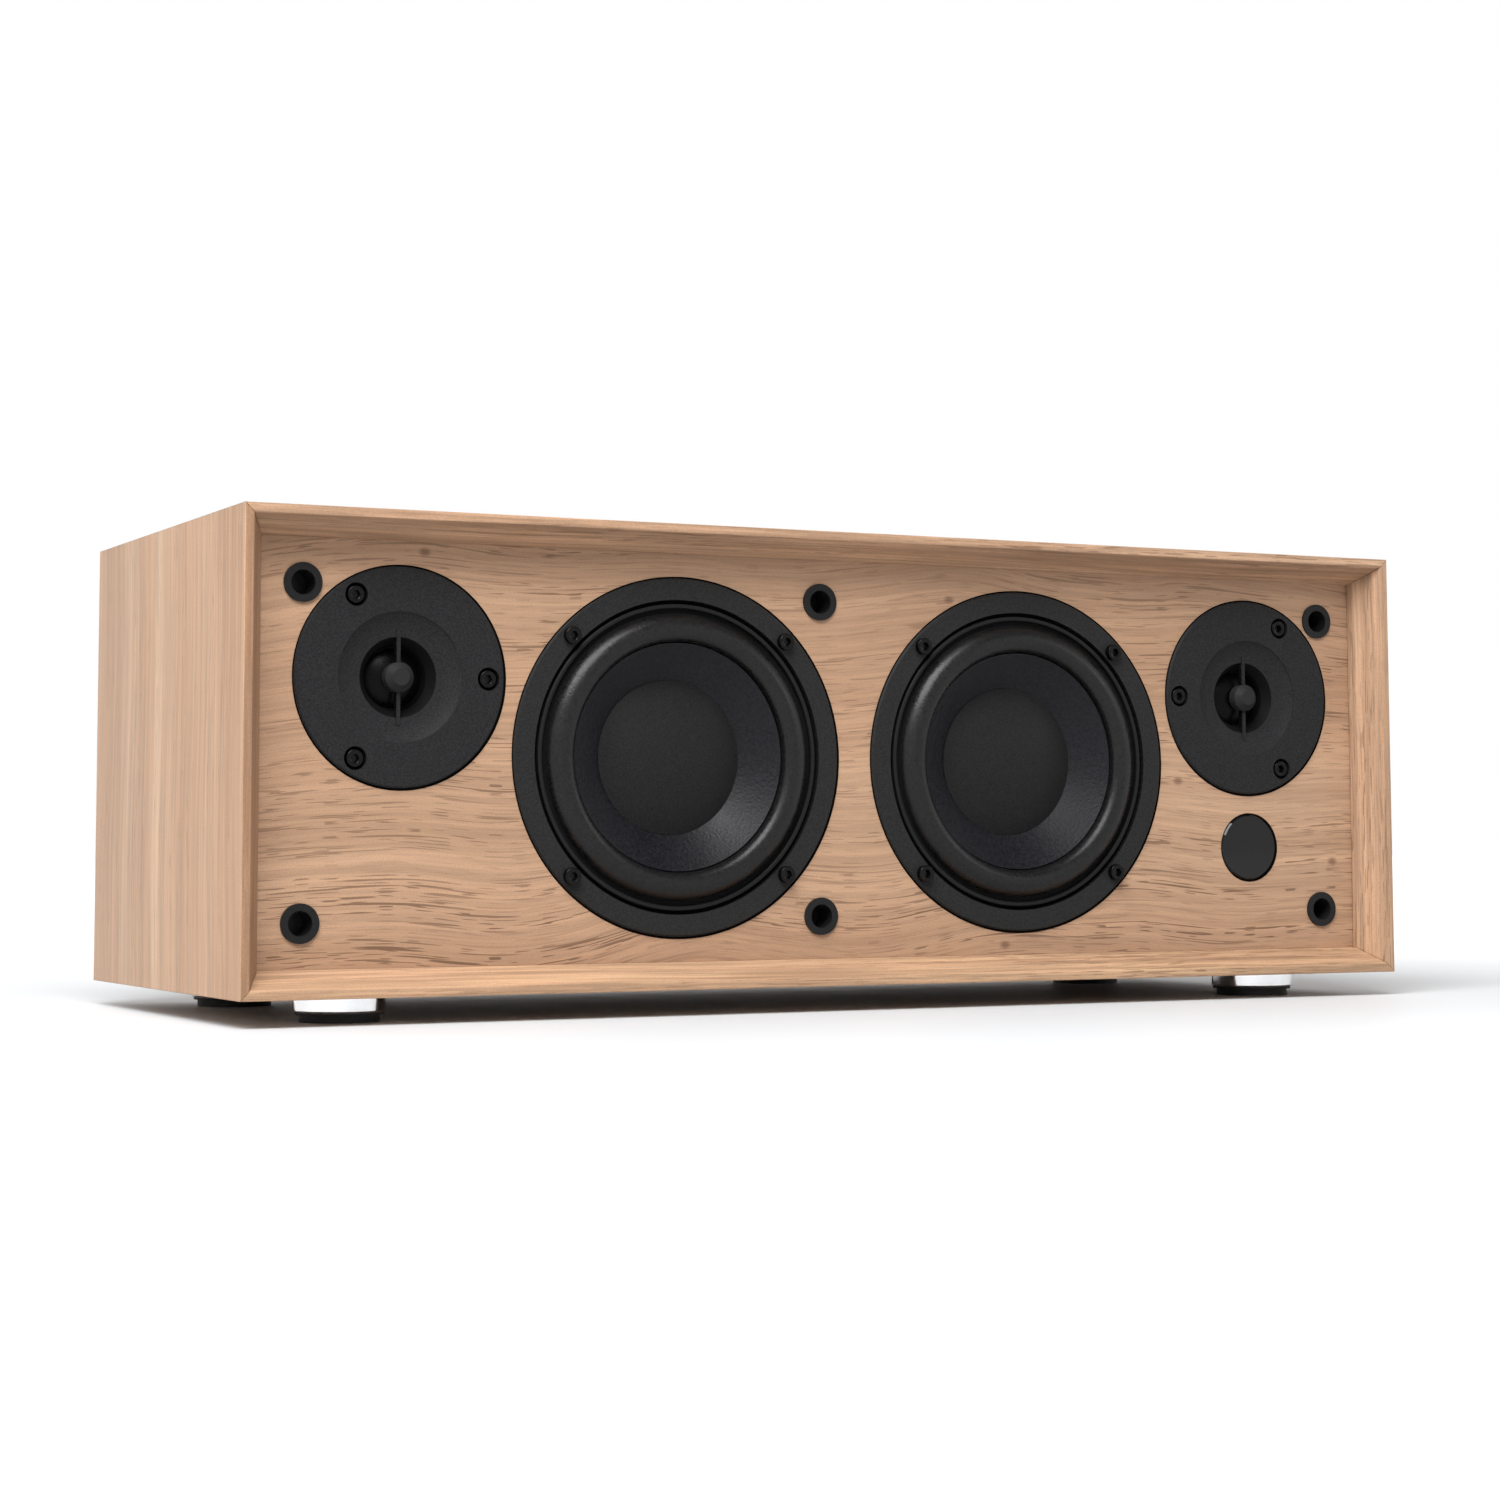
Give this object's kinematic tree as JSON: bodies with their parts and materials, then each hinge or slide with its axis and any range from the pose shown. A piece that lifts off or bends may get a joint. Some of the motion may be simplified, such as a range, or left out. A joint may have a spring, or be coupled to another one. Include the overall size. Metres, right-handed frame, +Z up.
{
  "type": "tabletop speaker",
  "caption": "Powered tabletop stereo speaker: a mitred oak-laminate box with a recessed baffle carrying woofers, dome tweeters, grille sockets and a remote window, on chromed feet.",
  "frame": {"origin": "on the floor under the middle of the cabinet, at the soles of the feet", "axes": "+X to the right seen from the front, +Y to the back, +Z up; the front faces -Y"},
  "size_m": [0.432, 0.171, 0.1584],
  "materials": {
    "oak_laminate": "light oak wood-grain laminate, satin",
    "black_cast_metal": "satin black powder coat",
    "black_trim": "satin black",
    "black_rubber": "smooth matt black",
    "woven_cone": "dark, finely textured",
    "cap_paper": "matt, fine grained",
    "copper_coil": "enamelled copper",
    "spider_cloth": "impregnated cloth",
    "plated_steel": "zinc plated",
    "ferrite": "sintered, matt dark grey",
    "black_screw": "blackened",
    "tweeter_plastic": "finely textured black",
    "dome_silk": "coated, glossy black",
    "socket_plastic": "smooth dark grey",
    "lens_plastic": "polished, nearly black",
    "circuit_board": "green solder mask",
    "chromed_metal": "polished chrome plate",
    "black_plastic": "fine spark texture",
    "transformer_steel": "varnished core and tape",
    "capacitor_sleeve": "printed-free dark sleeve"
  },
  "bodies": {
    "cabinet": {"top_panel": "oak_laminate", "bottom_panel": "oak_laminate", "left_panel": "oak_laminate", "right_panel": "oak_laminate", "front_baffle": "oak_laminate", "rear_panel": "oak_laminate", "woofer_left_basket": "black_cast_metal", "woofer_right_basket": "black_cast_metal", "woofer_left_trim_ring": "black_trim", "woofer_right_trim_ring": "black_trim", "woofer_left_surround": "black_rubber", "woofer_right_surround": "black_rubber", "foot_pads": "black_rubber", "tweeter_left_voice_coil": "copper_coil", "tweeter_right_voice_coil": "copper_coil", "woofer_left_spider": "spider_cloth", "woofer_right_spider": "spider_cloth", "woofer_left_top_plate": "plated_steel", "woofer_right_top_plate": "plated_steel", "woofer_left_yoke": "plated_steel", "woofer_right_yoke": "plated_steel", "tweeter_left_top_plate": "plated_steel", "tweeter_right_top_plate": "plated_steel", "tweeter_left_back_plate": "plated_steel", "tweeter_right_back_plate": "plated_steel", "foot_screws": "plated_steel", "woofer_left_magnet": "ferrite", "woofer_right_magnet": "ferrite", "tweeter_left_magnet": "ferrite", "tweeter_right_magnet": "ferrite", "woofer_screws": "black_screw", "tweeter_screws": "black_screw", "plate_screws": "black_screw", "tweeter_left_faceplate": "tweeter_plastic", "tweeter_right_faceplate": "tweeter_plastic", "tweeter_left_dome": "dome_silk", "tweeter_right_dome": "dome_silk", "grille_sockets": "socket_plastic", "remote_window": "lens_plastic", "receiver_board": "circuit_board", "amp_board": "circuit_board", "foot_cups": "chromed_metal", "connector_plate": "black_plastic", "mains_inlet": "black_plastic", "line_in_jacks": "black_plastic", "power_transformer": "transformer_steel", "filter_capacitors": "capacitor_sleeve"},
    "woofer_left_diaphragm": {"woofer_left_cone": "woven_cone", "woofer_left_dust_cap": "cap_paper", "woofer_left_voice_coil": "copper_coil"},
    "woofer_right_diaphragm": {"woofer_right_cone": "woven_cone", "woofer_right_dust_cap": "cap_paper", "woofer_right_voice_coil": "copper_coil"}
  },
  "joints": [
    {"name": "woofer_left_travel", "type": "slide", "parent": "cabinet", "child": "woofer_left_diaphragm", "axis": [0, -1, 0], "range_m": [-0.003, 0.003], "stiffness_N_per_m": 1000, "deforming": ["woofer_left_surround", "woofer_left_spider"]},
    {"name": "woofer_right_travel", "type": "slide", "parent": "cabinet", "child": "woofer_right_diaphragm", "axis": [0, -1, 0], "range_m": [-0.003, 0.003], "stiffness_N_per_m": 1000, "deforming": ["woofer_right_surround", "woofer_right_spider"]}
  ]
}
